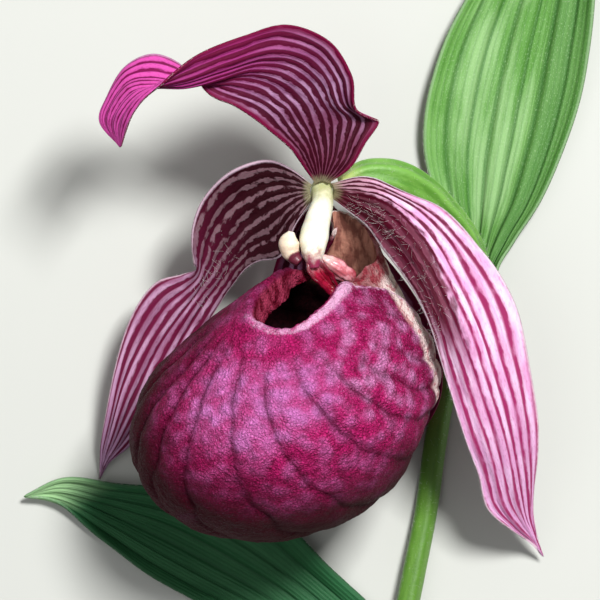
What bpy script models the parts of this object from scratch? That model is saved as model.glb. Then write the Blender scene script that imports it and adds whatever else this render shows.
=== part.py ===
"""A picked slipper orchid: one flower on its cut stem, with its bract and one leaf, lying on its back.

The flower faces up (+Z), its dorsal sepal points along +Y and the cut stem along -Y.
Heights are above the surface that the flower lies on.
"""

import math

import bmesh
import bpy
from mathutils import Vector

MM = 0.001

# Where the flower's parts meet, seen from above, measured from the middle of the part's bounding box.
FLOWER_CENTRE = Vector((1.7, 15.5, 0.0))

PETAL_THICKNESS = 0.7
LEAF_THICKNESS = 0.8
POUCH_THICKNESS = 0.8
SEAT_GAP = 0.3

STEM_SIDES = 14
OVARY_SIDES = 18
OVARY_RIBS = 6

# The round foot of the column, which carries the sepals, the petals and the pouch.
FOOT_CENTRE = Vector((0.0, -0.8, 22.5))
FOOT_RADIUS = 3.0

# The swollen body of the pouch: an egg whose long axis leans by some degrees.
POUCH_CENTRE = Vector((-6.9, -39.9, 28.0))
POUCH_RADII = (26.3, 20.1, 22.4)
POUCH_LEAN = 16.7
POUCH_SIDES = 64
POUCH_RINGS = 26
RIM_RINGS = 6
RIM_CURL_RADIUS = 1.4
RIM_CURL_TURN = 2.9
# The flap that folds into the mouth from its left side.
FLAP_LENGTH = 1.5
# The shoulder that swells beside the mouth, on its right.
SHOULDER_CENTRE = Vector((10.5, -20.0, 37.0))
SHOULDER_WAY = Vector((0.40, 0.60, 0.70))
SHOULDER_SPREAD = 5.5
SHOULDER_HEIGHT = 3.6
# The furrows run round the line between two points, at these turns about it in degrees.
FURROW_START = Vector((-14.2, -16.1, 47.2))
FURROW_END = Vector((22.4, -25.0, -2.5))
FURROW_TURNS = [
    -158, -136, -116, -98, -80, -64, -53, -44, -32, -15.5, -0.5,
    15.5, 27.5, 38, 50, 64, 78, 94, 112, 132, 154, 178,
]
FURROW_DEPTH = 1.2


# Helpers
def start_collection(name):
    for old in list(bpy.data.objects):
        bpy.data.objects.remove(old, do_unlink=True)
    collection = bpy.data.collections.new(name)
    bpy.context.scene.collection.children.link(collection)
    return collection


def to_metres(point):
    return (Vector(point) + FLOWER_CENTRE) * MM


def smoothstep(low, high, value):
    u = min(1.0, max(0.0, (value - low) / (high - low)))
    return u * u * (3.0 - 2.0 * u)


def through(before, start, end, after, u):
    """A point on the smooth curve from start to end, with the neighbours on either side."""
    return 0.5 * (
        2.0 * start
        + (end - before) * u
        + (2.0 * before - 5.0 * start + 4.0 * end - after) * u * u
        + (3.0 * start - before - 3.0 * end + after) * u * u * u
    )


def along_points(points, share):
    """The smooth curve through points, from share 0 to 1."""
    spans = len(points) - 1
    k = min(int(share * spans), spans - 1)
    start, end = points[k], points[k + 1]
    before = points[k - 1] if k > 0 else 2.0 * start - end
    after = points[k + 2] if k + 2 <= spans else 2.0 * end - start
    return through(before, start, end, after, share * spans - k)


def material(name, colour, roughness):
    made = bpy.data.materials.new(name)
    made.use_nodes = True
    shader = made.node_tree.nodes["Principled BSDF"]
    shader.inputs["Base Color"].default_value = (*colour, 1.0)
    shader.inputs["Roughness"].default_value = roughness
    return made


def finish(bm, name, colour, roughness):
    """Makes an object of the mesh, recalculates its normals and shades it smooth."""
    bm.normal_update()
    bmesh.ops.recalc_face_normals(bm, faces=bm.faces)
    mesh = bpy.data.meshes.new(name)
    bm.to_mesh(mesh)
    bm.free()
    mesh.shade_smooth()
    mesh.materials.append(material(name, colour, roughness))
    made = bpy.data.objects.new(name, mesh)
    orchid.objects.link(made)
    return made


def give_thickness(made, thickness, offset):
    """Thickens an open surface, split into the same triangles on both faces."""
    split = made.modifiers.new("triangles", "TRIANGULATE")
    split.quad_method = "FIXED"
    wall = made.modifiers.new("thickness", "SOLIDIFY")
    wall.thickness = thickness * MM
    wall.offset = offset
    return made


# Flat parts: sepals, petals and leaves
def blade(name, stations, along, across, thickness, colour, roughness=0.55, ribs=0, rib_height=0.0):
    """A blade through stations of (left margin, middle, right margin), from its base to its tip."""
    lefts, middles, rights = (
        [Vector(station[side]) for station in stations] for side in range(3)
    )

    def surface(share, v):
        left = along_points(lefts, share)
        middle = along_points(middles, share)
        right = along_points(rights, share)
        return middle + (right - left) * (v / 2) + ((left + right) / 2 - middle) * (v * v)

    bm = bmesh.new()
    bmesh.ops.create_grid(bm, x_segments=across, y_segments=along, size=1.0)
    step = 0.01
    for vert in bm.verts:
        v, share = vert.co.x, (vert.co.y + 1) / 2
        here = surface(share, v)
        down = surface(min(1.0, share + step), v) - surface(max(0.0, share - step), v)
        over = surface(share, v + step) - surface(share, v - step)
        normal = over.cross(down)
        fade = smoothstep(0.0, 0.15, share) * smoothstep(1.0, 0.85, share)
        if ribs and normal.length > 0:
            here += normal.normalized() * (rib_height * fade * math.cos(ribs * math.pi * v))
        here.z = max(here.z, thickness / 2)
        vert.co = to_metres(here)
    bm.verts.ensure_lookup_table()
    tip_row = [vert for vert in bm.verts if vert.index >= along * (across + 1)]
    bmesh.ops.pointmerge(bm, verts=tip_row, merge_co=to_metres(middles[-1]))
    made = finish(bm, name, colour, roughness)
    return give_thickness(made, thickness, 0.0)


def on_foot(azimuth, polar):
    """A point of a blade's base, just clear of the column's round foot."""
    a, p = math.radians(azimuth), math.radians(polar)
    away = Vector((math.sin(p) * math.cos(a), math.sin(p) * math.sin(a), math.cos(p)))
    return FOOT_CENTRE + away * (FOOT_RADIUS + SEAT_GAP + PETAL_THICKNESS / 3)


def foot_station(azimuth, half_spread, polar):
    return tuple(on_foot(azimuth + turn, polar) for turn in (half_spread, 0, -half_spread))


# Round parts: stem, ovary, column
def round_part(name, path, radii, sides, rings, colour, roughness=0.5, ribs=0, rib_height=0.0, flat=None):
    """A round rod with filled ends along a path, whose radius follows radii from end to end."""
    path = [Vector(point) for point in path]
    bm = bmesh.new()
    bmesh.ops.create_cone(
        bm, cap_ends=True, segments=sides, radius1=1.0, radius2=1.0, depth=1.0
    )
    sides_up = [edge for edge in bm.edges if abs(edge.verts[0].co.z - edge.verts[1].co.z) > 0.5]
    bmesh.ops.subdivide_edges(bm, edges=sides_up, cuts=rings - 1, use_grid_fill=True)
    step = 0.01
    for vert in bm.verts:
        share = vert.co.z + 0.5
        angle = math.atan2(vert.co.y, vert.co.x)
        centre = along_points(path, share)
        ahead = along_points(path, min(1.0, share + step)) - along_points(path, max(0.0, share - step))
        ahead.normalize()
        side = ahead.cross(Vector((0, 0, 1)))
        side.normalize()
        up = side.cross(ahead)
        radius = along_points(radii, share) + rib_height * math.cos(ribs * angle)
        here = centre + (side * math.cos(angle) + up * math.sin(angle)) * radius
        if flat is not None:
            here.z = max(here.z, flat)
        vert.co = to_metres(here)
    return finish(bm, name, colour, roughness)


# The pouch
def pouch_axes():
    """The direction out of the mouth, the way to its front edge, and the way to its right."""
    mouth = Vector((0.10, 0.80, 0.59)).normalized()
    facing = Vector((-0.50, 0.0, 0.85))
    front = (facing - mouth * facing.dot(mouth)).normalized()
    return mouth, front, mouth.cross(front)


def body_axes():
    """The long, short and upright axes of the pouch's body, each with its radius."""
    lean = math.radians(POUCH_LEAN)
    long_way = Vector((math.cos(lean), math.sin(lean), 0))
    short_way = Vector((-long_way.y, long_way.x, 0))
    return list(zip((long_way, short_way, Vector((0, 0, 1))), POUCH_RADII))


# The mouth's edge as (degrees round the mouth from its front, point): front, right, claw, left.
MOUTH_EDGE = [
    (0, (-9.5, -24.6, 45.5)),
    (25, (-6.0, -24.9, 46.2)),
    (50, (-2.5, -23.6, 45.2)),
    (75, (0.9, -21.0, 42.2)),
    (100, (4.3, -17.6, 38.5)),
    (120, (8.0, -15.6, 32.5)),
    (140, (10.2, -12.4, 28.0)),
    (155, (9.0, -8.6, 24.6)),
    (168, (5.6, -5.4, 23.4)),
    (180, (2.9, -4.5, 22.4)),
    (192, (1.4, -5.0, 22.6)),
    (205, (1.9, -7.4, 22.2)),
    (220, (0.2, -11.0, 22.8)),
    (240, (-3.0, -14.4, 26.5)),
    (262, (-6.6, -14.2, 31.0)),
    (285, (-9.4, -15.8, 35.6)),
    (310, (-12.2, -18.8, 40.4)),
    (335, (-12.6, -22.6, 44.0)),
]


def mouth_edge(turn):
    """The mouth's edge at a turn in degrees, on a smooth closed curve."""
    count = len(MOUTH_EDGE)
    k = max(i for i in range(count) if MOUTH_EDGE[i][0] <= turn)
    following = MOUTH_EDGE[k + 1][0] if k + 1 < count else 360
    near = [Vector(MOUTH_EDGE[(k + i) % count][1]) for i in (-1, 0, 1, 2)]
    return through(*near, (turn - MOUTH_EDGE[k][0]) / (following - MOUTH_EDGE[k][0]))


def frontness(turn):
    """1 at the rolled front of the mouth, 0 along the claw at its back."""
    away = abs((turn + 180) % 360 - 180)
    return smoothstep(150, 95, away)


def furrow(point):
    """How far the skin sinks at a point, in furrows between rounded lobes."""
    axis = (FURROW_END - FURROW_START).normalized()
    down = Vector((0, -1, 0))
    down = (down - axis * down.dot(axis)).normalized()
    side = axis.cross(down)
    away = point - FURROW_START
    out = away - axis * away.dot(axis)
    turn = math.degrees(math.atan2(out.dot(side), out.dot(down)))
    before = max((t for t in FURROW_TURNS if t <= turn), default=FURROW_TURNS[-1] - 360)
    after = min((t for t in FURROW_TURNS if t > turn), default=FURROW_TURNS[0] + 360)
    lobe = math.sin(math.pi * (turn - before) / (after - before))
    fade = smoothstep(3.0, 14.0, out.length)
    return FURROW_DEPTH * fade * (1 - max(0.0, lobe) ** 0.6)


def pouch_skin(turn, share):
    """The pouch's outer skin, from the mouth's edge (share 0) to its far pole (share 1)."""
    mouth, front, right = pouch_axes()
    a = math.radians(turn)
    first = 21 + 29 * (1 - math.cos(a)) / 2
    level = math.radians(first + (180 - first) * share)
    first = math.radians(first)
    round_way = front * math.cos(a) + right * math.sin(a)

    def on_body(angle):
        way = mouth * math.cos(angle) + round_way * math.sin(angle)
        return sum((axis * (way.dot(axis) * radius) for axis, radius in body_axes()), POUCH_CENTRE)

    left_side = smoothstep(170, 200, turn)
    reach = 0.22 + (0.04 + 0.12 * left_side) * (1 - frontness(turn))
    pull = max(0.0, 1 - share / reach) ** 2
    point = on_body(level) + (mouth_edge(turn) - on_body(first)) * pull
    nearness = math.exp(-(point - SHOULDER_CENTRE).length_squared / (2 * SHOULDER_SPREAD**2))
    point += SHOULDER_WAY * (SHOULDER_HEIGHT * nearness * (1 - pull))
    away = point - POUCH_CENTRE
    normal = sum((axis * (away.dot(axis) / radius**2) for axis, radius in body_axes()), Vector()).normalized()
    sink = furrow(point) * smoothstep(0.03, 0.2, share)
    return point - normal * sink


def pouch_rim(turn, run):
    """The edge beyond the skin: rolled inwards at the front, a flap on the left, straight along the claw."""
    edge = pouch_skin(turn, 0)
    below = (pouch_skin(turn, 0.03) - edge).normalized()
    around = pouch_skin((turn + 2) % 360, 0) - pouch_skin((turn - 2) % 360, 0)
    outward = around.cross(below).normalized()
    if outward.dot(edge - POUCH_CENTRE) < 0 and frontness(turn) > 0.5:
        outward.negate()
    roll = frontness(turn)
    side_flap = smoothstep(240, 275, turn) * smoothstep(358, 315, turn)
    radius = RIM_CURL_RADIUS * (1 - 0.4 * side_flap) / max(0.05, roll)
    length = run * (0.5 + 3.6 * roll + FLAP_LENGTH * side_flap)
    arc = min(length, RIM_CURL_TURN * (1 - 0.35 * side_flap) * radius)
    bend = arc / radius
    rolled = edge - below * (radius * math.sin(bend)) - outward * (radius * (1 - math.cos(bend)))
    return rolled - (below * math.cos(bend) + outward * math.sin(bend)) * (length - arc)


def make_lip():
    """The pouch: an egg-shaped shell, open at its mouth, with a claw that reaches the column's foot."""
    bm = bmesh.new()
    bmesh.ops.create_uvsphere(bm, u_segments=POUCH_SIDES, v_segments=POUCH_RINGS + 1, radius=1.0)
    bm.verts.ensure_lookup_table()
    pole = max(bm.verts, key=lambda vert: vert.co.z)
    bmesh.ops.delete(bm, geom=[pole], context="VERTS")
    for vert in bm.verts:
        x, y, z = vert.co
        ring = round(math.acos(max(-1, min(1, z))) / math.pi * (POUCH_RINGS + 1)) - 1
        turn = math.degrees(math.atan2(y, x)) % 360
        if ring < RIM_RINGS:
            here = pouch_rim(turn, 1 - ring / RIM_RINGS)
        else:
            here = pouch_skin(turn, ((ring - RIM_RINGS) / (POUCH_RINGS - RIM_RINGS)) ** 1.15)
        vert.co = to_metres(here)
    made = finish(bm, "lip", (0.55, 0.06, 0.25), 0.6)
    return give_thickness(made, POUCH_THICKNESS, -1.0)


# The pieces
def make_sepals():
    blade(
        "dorsal_sepal",
        [
            foot_station(90, 34, 58),
            ((-3.4, 3.6, 27.4), (0.5, 4.2, 25.4), (4.9, 3.2, 26.2)),
            ((-5.6, 6.2, 30.5), (0.4, 7.8, 26.2), (7.4, 7.4, 26.4)),
            ((-8.4, 8.8, 33.0), (-0.4, 11.2, 27.6), (9.7, 11.2, 26.0)),
            ((-11.2, 11.0, 35.0), (-1.8, 14.0, 29.2), (5.9, 13.4, 29.5)),
            ((-14.6, 12.9, 37.0), (-4.2, 16.8, 31.2), (5.0, 18.6, 31.5)),
            ((-17.6, 14.2, 38.0), (-7.6, 18.8, 33.6), (1.2, 24.4, 33.0)),
            ((-19.6, 15.8, 38.0), (-12.0, 19.2, 36.6), (-6.0, 27.0, 35.5)),
            ((-21.6, 18.2, 37.0), (-17.6, 17.6, 40.0), (-13.2, 24.9, 39.5)),
            ((-24.2, 20.9, 36.6), (-23.2, 16.3, 42.0), (-20.0, 21.9, 43.6)),
            ((-28.6, 21.9, 37.0), (-28.0, 16.2, 42.6), (-25.2, 18.4, 45.6)),
            ((-33.2, 19.6, 37.4), (-31.6, 15.6, 42.0), (-29.0, 15.0, 45.4)),
            ((-36.4, 15.0, 37.6), (-34.2, 12.8, 40.8), (-31.4, 11.8, 43.8)),
            ((-37.4, 10.6, 38.0), (-35.2, 9.8, 39.8), (-32.8, 9.0, 42.0)),
            ((-33.9, 6.4, 40.0), (-33.8, 6.2, 40.0), (-33.7, 6.2, 40.0)),
        ],
        30, 8, PETAL_THICKNESS, (0.28, 0.04, 0.12), ribs=4, rib_height=0.16,
    )
    blade(
        "synsepal",
        [
            foot_station(270, -34, 125),
            ((-4.6, -6.6, 16.6), (0.6, -7.4, 15.4), (5.6, -6.8, 16.0)),
            ((-8.0, -13.0, 9.0), (2.0, -13.4, 8.6), (12.0, -13.0, 10.8)),
            ((-9.6, -21.0, 3.6), (3.8, -21.0, 3.6), (17.4, -21.0, 8.6)),
            ((-9.4, -29.0, 1.6), (5.4, -29.0, 1.4), (20.9, -29.5, 9.0)),
            ((-7.4, -37.0, 1.2), (6.4, -37.0, 0.8), (20.4, -37.0, 8.6)),
            ((-3.4, -44.0, 1.0), (7.2, -44.0, 0.6), (16.6, -43.5, 6.4)),
            ((2.2, -49.4, 1.0), (8.0, -49.4, 0.8), (12.8, -48.8, 3.2)),
            ((8.4, -53.0, 1.6), (8.5, -53.0, 1.6), (8.6, -53.0, 1.6)),
        ],
        20, 8, PETAL_THICKNESS, (0.45, 0.12, 0.25), ribs=3, rib_height=0.14,
    )


def make_petals():
    blade(
        "petal_left",
        [
            foot_station(184, -34, 76),
            ((-5.4, 3.0, 25.0), (-5.4, -1.8, 22.8), (-4.4, -6.4, 23.0)),
            ((-10.0, 4.2, 25.0), (-9.2, -3.6, 20.5), (-7.0, -11.8, 20.5)),
            ((-15.4, 2.7, 24.5), (-12.8, -5.8, 18.2), (-10.8, -12.6, 17.5)),
            ((-19.6, -1.6, 23.0), (-15.6, -8.6, 16.6), (-13.0, -13.9, 14.8)),
            ((-21.9, -6.6, 21.5), (-17.8, -11.6, 15.4), (-15.0, -16.2, 12.5)),
            ((-22.3, -10.4, 19.5), (-19.2, -14.4, 14.4), (-16.9, -18.8, 10.6)),
            ((-21.5, -13.8, 16.5), (-20.9, -17.2, 13.2), (-18.8, -21.8, 9.0)),
            ((-24.0, -14.9, 13.6), (-23.2, -20.2, 11.6), (-21.0, -25.4, 7.8)),
            ((-28.8, -16.5, 13.0), (-26.2, -24.2, 10.0), (-23.6, -30.0, 6.8)),
            ((-32.8, -22.3, 12.0), (-29.6, -29.8, 8.4), (-26.6, -35.8, 5.8)),
            ((-36.0, -31.5, 9.6), (-33.2, -36.8, 6.6), (-30.0, -41.2, 4.8)),
            ((-38.1, -42.0, 6.0), (-36.0, -43.6, 4.4), (-33.6, -45.0, 3.4)),
            ((-38.8, -47.8, 2.4), (-38.0, -47.8, 2.0), (-37.1, -47.6, 1.8)),
            ((-38.9, -50.8, 0.4), (-39.0, -50.8, 0.4), (-39.0, -50.8, 0.4)),
        ],
        28, 8, PETAL_THICKNESS, (0.42, 0.10, 0.22), ribs=4, rib_height=0.14,
    )
    blade(
        "petal_right",
        [
            foot_station(4, 34, 76),
            ((6.6, 1.5, 26.4), (6.4, -1.6, 27.6), (5.0, -4.6, 26.6)),
            ((11.2, 0.1, 27.0), (10.2, -2.8, 31.0), (8.4, -7.4, 29.6)),
            ((15.6, -1.7, 27.4), (13.8, -5.4, 33.4), (11.0, -11.2, 32.0)),
            ((20.2, -4.3, 27.4), (17.2, -9.2, 34.8), (13.8, -15.2, 34.0)),
            ((25.1, -8.7, 27.0), (20.2, -14.0, 35.6), (16.4, -19.2, 35.0)),
            ((29.3, -13.7, 26.0), (23.0, -19.8, 35.2), (18.4, -23.8, 35.4)),
            ((32.9, -21.2, 24.6), (25.6, -26.4, 33.4), (20.0, -29.4, 34.6)),
            ((35.3, -30.2, 22.2), (28.1, -33.6, 29.8), (22.1, -36.2, 31.4)),
            ((36.8, -38.6, 18.8), (30.5, -41.0, 24.8), (24.4, -43.3, 26.6)),
            ((37.0, -46.0, 14.6), (32.3, -47.9, 19.0), (26.8, -49.4, 21.0)),
            ((36.8, -52.0, 10.8), (33.8, -53.8, 13.6), (28.4, -55.1, 15.8)),
            ((36.8, -57.2, 7.4), (35.4, -58.2, 8.8), (32.8, -59.2, 10.2)),
            ((37.8, -61.4, 4.2), (37.4, -61.6, 4.4), (36.8, -62.0, 4.8)),
            ((38.9, -64.3, 2.0), (38.9, -64.4, 2.0), (38.9, -64.4, 2.0)),
        ],
        28, 8, PETAL_THICKNESS, (0.55, 0.22, 0.36), ribs=4, rib_height=0.14,
    )


def make_column():
    """The ivory column: a round foot and a bent rod, which carries the staminode, stigma and anthers."""
    foot = FOOT_CENTRE
    round_part(
        "column",
        [
            foot + Vector((0.2, 2.8, -0.6)),
            foot + Vector((0.1, 1.6, -0.2)),
            foot,
            (-0.1, -2.6, 25.4),
            (-0.9, -5.6, 27.8),
            (-1.6, -9.0, 29.8),
            (-1.7, -11.6, 30.9),
            (-1.5, -12.8, 31.2),
        ],
        [0.6, 2.4, FOOT_RADIUS, 2.4, 2.1, 2.2, 1.8, 0.9],
        14, 14, (0.86, 0.82, 0.62),
    )
    round_part(
        "staminode",
        [(-1.6, -13.4, 31.3), (-1.2, -14.6, 31.2), (0.2, -16.4, 30.4), (2.6, -18.0, 29.2)],
        [0.9, 1.5, 1.3, 0.4],
        12, 8, (0.45, 0.04, 0.14),
    )
    round_part(
        "stigma",
        [(-0.4, -12.2, 28.7), (1.3, -13.0, 28.0), (3.3, -13.9, 27.4), (5.2, -14.4, 27.3)],
        [0.6, 1.5, 1.4, 0.4],
        12, 8, (0.75, 0.35, 0.38),
    )
    round_part(
        "anther_left",
        [
            (-4.2, -12.0, 30.2),
            (-5.3, -12.2, 29.9),
            (-5.9, -10.6, 30.0),
            (-5.7, -8.8, 30.2),
            (-5.2, -7.8, 30.3),
        ],
        [0.5, 0.9, 1.6, 1.5, 0.5],
        12, 10, (0.86, 0.80, 0.58),
    )
    round_part(
        "anther_right",
        [(-1.6, -11.2, 27.7), (-1.2, -10.4, 26.8), (-0.9, -8.8, 25.5), (-0.9, -7.4, 24.4)],
        [0.4, 1.1, 1.3, 0.4],
        12, 8, (0.86, 0.80, 0.58),
    )


def make_stalks():
    round_part(
        "stem",
        [
            (11.5, -98.0, 3.6),
            (12.4, -88.0, 3.6),
            (14.0, -78.0, 3.5),
            (16.2, -67.0, 2.7),
            (18.4, -56.0, 1.8),
            (20.0, -44.0, 1.8),
            (22.0, -33.0, 2.0),
            (24.4, -22.4, 3.2),
            (26.5, -15.6, 4.5),
            (27.1, -13.2, 5.3),
        ],
        [2.1, 2.1, 2.05, 2.05, 2.0, 2.0, 1.95, 1.9, 1.9, 1.9],
        STEM_SIDES, 26, (0.25, 0.45, 0.10), flat=0.0,
    )
    round_part(
        "ovary",
        [
            (27.0, -12.4, 5.9),
            (26.7, -11.2, 6.5),
            (25.2, -8.4, 8.6),
            (22.0, -4.8, 11.4),
            (17.6, -0.8, 15.0),
            (12.8, 1.6, 18.0),
            (7.8, 2.0, 19.8),
            (3.4, 0.3, 20.8),
        ],
        [1.9, 1.9, 2.1, 2.5, 2.8, 2.9, 2.6, 1.8],
        OVARY_SIDES, 16, (0.32, 0.56, 0.14), ribs=OVARY_RIBS, rib_height=0.16,
    )


def make_leaves():
    blade(
        "bract",
        [
            ((22.8, -15.2, 5.4), (26.8, -16.4, 0.8), (30.0, -16.8, 5.4)),
            ((23.4, -11.6, 4.4), (28.0, -12.0, 0.6), (31.6, -12.6, 4.2)),
            ((22.4, -6.4, 2.4), (28.8, -7.4, 0.5), (34.2, -8.6, 3.2)),
            ((19.6, 0.0, 2.6), (29.8, -1.4, 0.4), (38.8, -2.0, 3.2)),
            ((17.8, 8.0, 3.6), (31.2, 7.4, 0.4), (42.8, 7.4, 3.4)),
            ((18.4, 16.5, 4.0), (33.0, 17.0, 0.4), (45.6, 17.0, 4.0)),
            ((21.3, 25.5, 4.0), (35.2, 27.0, 0.6), (47.4, 27.0, 4.8)),
            ((26.0, 34.5, 4.2), (38.0, 37.0, 1.4), (48.4, 37.5, 5.6)),
            ((32.0, 44.0, 5.0), (41.2, 47.0, 3.0), (48.8, 48.0, 6.4)),
            ((38.8, 54.0, 6.4), (44.4, 57.0, 5.0), (48.4, 58.0, 7.2)),
            ((47.0, 67.0, 8.0), (47.0, 67.0, 8.0), (47.0, 67.0, 8.0)),
        ],
        20, 12, LEAF_THICKNESS, (0.24, 0.48, 0.14), ribs=4, rib_height=0.3,
    )
    blade(
        "leaf",
        [
            ((16.4, -93.0, 4.4), (11.9, -93.6, 0.4), (7.2, -93.4, 4.4)),
            ((17.4, -87.0, 3.4), (11.6, -87.0, 0.4), (6.4, -88.0, 4.0)),
            ((15.4, -79.6, 0.6), (6.5, -81.6, 0.4), (2.4, -85.2, 2.6)),
            ((8.2, -72.4, 1.2), (-1.6, -75.8, 0.4), (-5.0, -81.6, 1.6)),
            ((1.2, -66.0, 3.2), (-9.8, -69.8, 0.4), (-13.4, -77.0, 1.4)),
            ((-6.0, -58.6, 4.8), (-18.0, -65.0, 0.4), (-22.4, -72.0, 1.4)),
            ((-15.4, -54.2, 5.0), (-26.4, -60.6, 0.4), (-31.0, -67.4, 1.4)),
            ((-25.4, -52.2, 4.6), (-34.0, -57.4, 0.5), (-38.6, -61.4, 1.8)),
            ((-35.6, -51.4, 4.0), (-40.8, -55.0, 1.0), (-44.2, -56.6, 2.2)),
            ((-45.0, -50.6, 3.0), (-46.6, -53.4, 1.6), (-48.4, -54.4, 2.4)),
            ((-52.2, -53.8, 2.4), (-52.2, -53.8, 2.4), (-52.2, -53.8, 2.4)),
        ],
        20, 10, LEAF_THICKNESS, (0.08, 0.25, 0.12), ribs=3, rib_height=0.25,
    )


orchid = start_collection("cypripedium_orchid")
make_stalks()
make_leaves()
make_sepals()
make_petals()
make_column()
make_lip()
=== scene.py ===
import random
from functools import cache
from math import acos, atan2, cos, degrees, exp, pi, radians, sin, tau

import bmesh
import bpy
from mathutils import Matrix, Vector
from mathutils.noise import noise


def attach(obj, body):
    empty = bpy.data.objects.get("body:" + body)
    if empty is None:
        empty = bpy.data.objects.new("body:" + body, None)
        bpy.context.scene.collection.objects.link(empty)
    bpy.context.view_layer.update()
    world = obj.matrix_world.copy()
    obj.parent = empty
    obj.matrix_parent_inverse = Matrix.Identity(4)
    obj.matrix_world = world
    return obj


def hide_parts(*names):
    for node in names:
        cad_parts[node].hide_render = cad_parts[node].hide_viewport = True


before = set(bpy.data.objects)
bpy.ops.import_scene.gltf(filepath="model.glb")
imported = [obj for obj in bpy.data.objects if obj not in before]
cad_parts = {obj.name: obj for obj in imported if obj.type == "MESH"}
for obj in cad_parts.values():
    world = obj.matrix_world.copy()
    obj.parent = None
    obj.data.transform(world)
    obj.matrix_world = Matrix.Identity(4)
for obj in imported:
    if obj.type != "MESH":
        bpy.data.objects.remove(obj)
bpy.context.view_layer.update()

scene = bpy.context.scene
draws = random.Random(7)
mm = 0.001
flowerCentre = Vector((1.7, 15.5, 0))  # where the flower's parts meet, seen from above
print("frame loaded")


# Numbers and smooth curves, in millimetres measured from the flower's centre
def toMetres(point):
    return (Vector(point) + flowerCentre) * mm


def ramp(low, high, value):
    # 0 at low, 1 at high, with soft ends
    u = min(1, max(0, (value - low) / (high - low)))
    return u * u * (3 - 2 * u)


def throughPoints(before, start, end, after, u):
    return 0.5 * (
        2 * start
        + (end - before) * u
        + (2 * before - 5 * start + 4 * end - after) * u * u
        + (3 * start - before - 3 * end + after) * u * u * u
    )


def alongPoints(points, share):
    spans = len(points) - 1
    k = min(int(share * spans), spans - 1)
    start, end = points[k], points[k + 1]
    before = points[k - 1] if k > 0 else 2 * start - end
    after = points[k + 2] if k + 2 <= spans else 2 * end - start
    return throughPoints(before, start, end, after, share * spans - k)


def rgb(red, green, blue):
    # a colour as a screen shows it, 0 to 255, made linear
    parts = [part / 255 for part in (red, green, blue)]
    return (*[p / 12.92 if p <= 0.04045 else ((p + 0.055) / 1.055) ** 2.4 for p in parts], 1)


def operator(operation, reflected=False):
    # what an operator sign between two shader values does
    def calculate(value, other):
        return value.calc(operation, *((other, value) if reflected else (value, other)))

    return calculate


# Shader values that can be added and multiplied
class Val:
    __add__ = __radd__ = operator("ADD")
    __sub__ = operator("SUBTRACT")
    __rsub__ = operator("SUBTRACT", reflected=True)
    __mul__ = __rmul__ = operator("MULTIPLY")
    __truediv__ = operator("DIVIDE")
    __pow__ = operator("POWER")

    def __init__(self, finish, socket):
        self.finish = finish
        self.socket = socket

    def calc(self, operation, *values):
        return self.finish.node("ShaderNodeMath", {"operation": operation}, values)

    def smooth(self, low, high):
        # 0 at low, 1 at high
        values = {"Value": self, "From Min": low, "From Max": high}
        return self.finish.node("ShaderNodeMapRange", {"interpolation_type": "SMOOTHSTEP"}, values)

    def wave(self, turns):
        # 0 to 1 and back for each turn
        return self.calc("COSINE", self * (turns * tau)) * 0.5 + 0.5

    def line(self, width):
        # 1 on the lines where the value crosses a half
        away = self.calc("ABSOLUTE", self - 0.5)
        return away.smooth(width, 0)

    def fromMargin(self):
        # 0 at both margins of a piece, where the value is 0 or 1
        return self.calc("MINIMUM", self, 1 - self)


class Finish:
    # a procedural material; numbers that don't vary are set on the shader's own sockets
    def __init__(self, name, fixed, look=None):
        self.look = look
        self.material = bpy.data.materials.new(name)
        self.material.use_nodes = True
        self.tree = self.material.node_tree
        self.shader = self.tree.nodes["Principled BSDF"]
        for key, value in fixed.items():
            self.shader.inputs[key].default_value = value

    def node(self, kind, settings=None, values=(), out=0):
        made = self.tree.nodes.new(kind)
        for key, value in (settings or {}).items():
            setattr(made, key, value)
        for key, value in values.items() if isinstance(values, dict) else enumerate(values):
            if isinstance(value, Val):
                self.tree.links.new(value.socket, made.inputs[key])
            else:
                made.inputs[key].default_value = value
        return Val(self, made.outputs[out])

    def mix(self, amount, first, second):
        # first where amount is 0, second where it is 1; the look's colours go by their names
        first, second = (self.look[tone] if isinstance(tone, str) else tone for tone in (first, second))
        return self.node("ShaderNodeMix", {"data_type": "RGBA"}, {0: amount, 6: first, 7: second}, 2)

    def layers(self, colour, *coats):
        # each tone over those before it, by its amount
        for amount, tone in coats:
            colour = self.mix(amount, colour, tone)
        return colour

    def place(self):
        return self.node("ShaderNodeTexCoord", out=3)

    def parts(self, vector):
        return [self.node("ShaderNodeSeparateXYZ", None, [vector], out) for out in range(3)]

    def join(self, x, y, z=0):
        return self.node("ShaderNodeCombineXYZ", None, [x, y, z])

    @cache
    def alongAcross(self):
        # how far along the piece, and how far across it, from 0 to 1
        return self.parts(self.node("ShaderNodeTexCoord", out=2))[:2]

    def noise(self, vector, scale, detail=3, roughness=0.55):
        values = {"Vector": vector, "Scale": scale, "Detail": detail, "Roughness": roughness}
        return self.node("ShaderNodeTexNoise", None, values)

    def grain(self, oftenAlong, oftenAcross, detail=3):
        # noise drawn out along the piece or across it
        along, across = self.alongAcross()
        return self.noise(self.join(along * oftenAlong, across * oftenAcross), 1, detail)

    def cells(self, vector, scale, feature="SMOOTH_F1"):
        return self.node("ShaderNodeTexVoronoi", {"feature": feature}, {"Vector": vector, "Scale": scale})

    def painted(self, name):
        return self.node("ShaderNodeAttribute", {"attribute_name": name}, (), 2)

    def wear(self, colour, roughness, height, distance):
        # joins the colour, roughness and relief to the shader
        self.tree.links.new(colour.socket, self.shader.inputs["Base Color"])
        self.tree.links.new(roughness.socket, self.shader.inputs["Roughness"])
        values = {"Height": height, "Distance": distance * mm, "Strength": 1}
        bump = self.node("ShaderNodeBump", None, values)
        self.tree.links.new(bump.socket, self.shader.inputs["Normal"])
        return self.material


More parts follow.
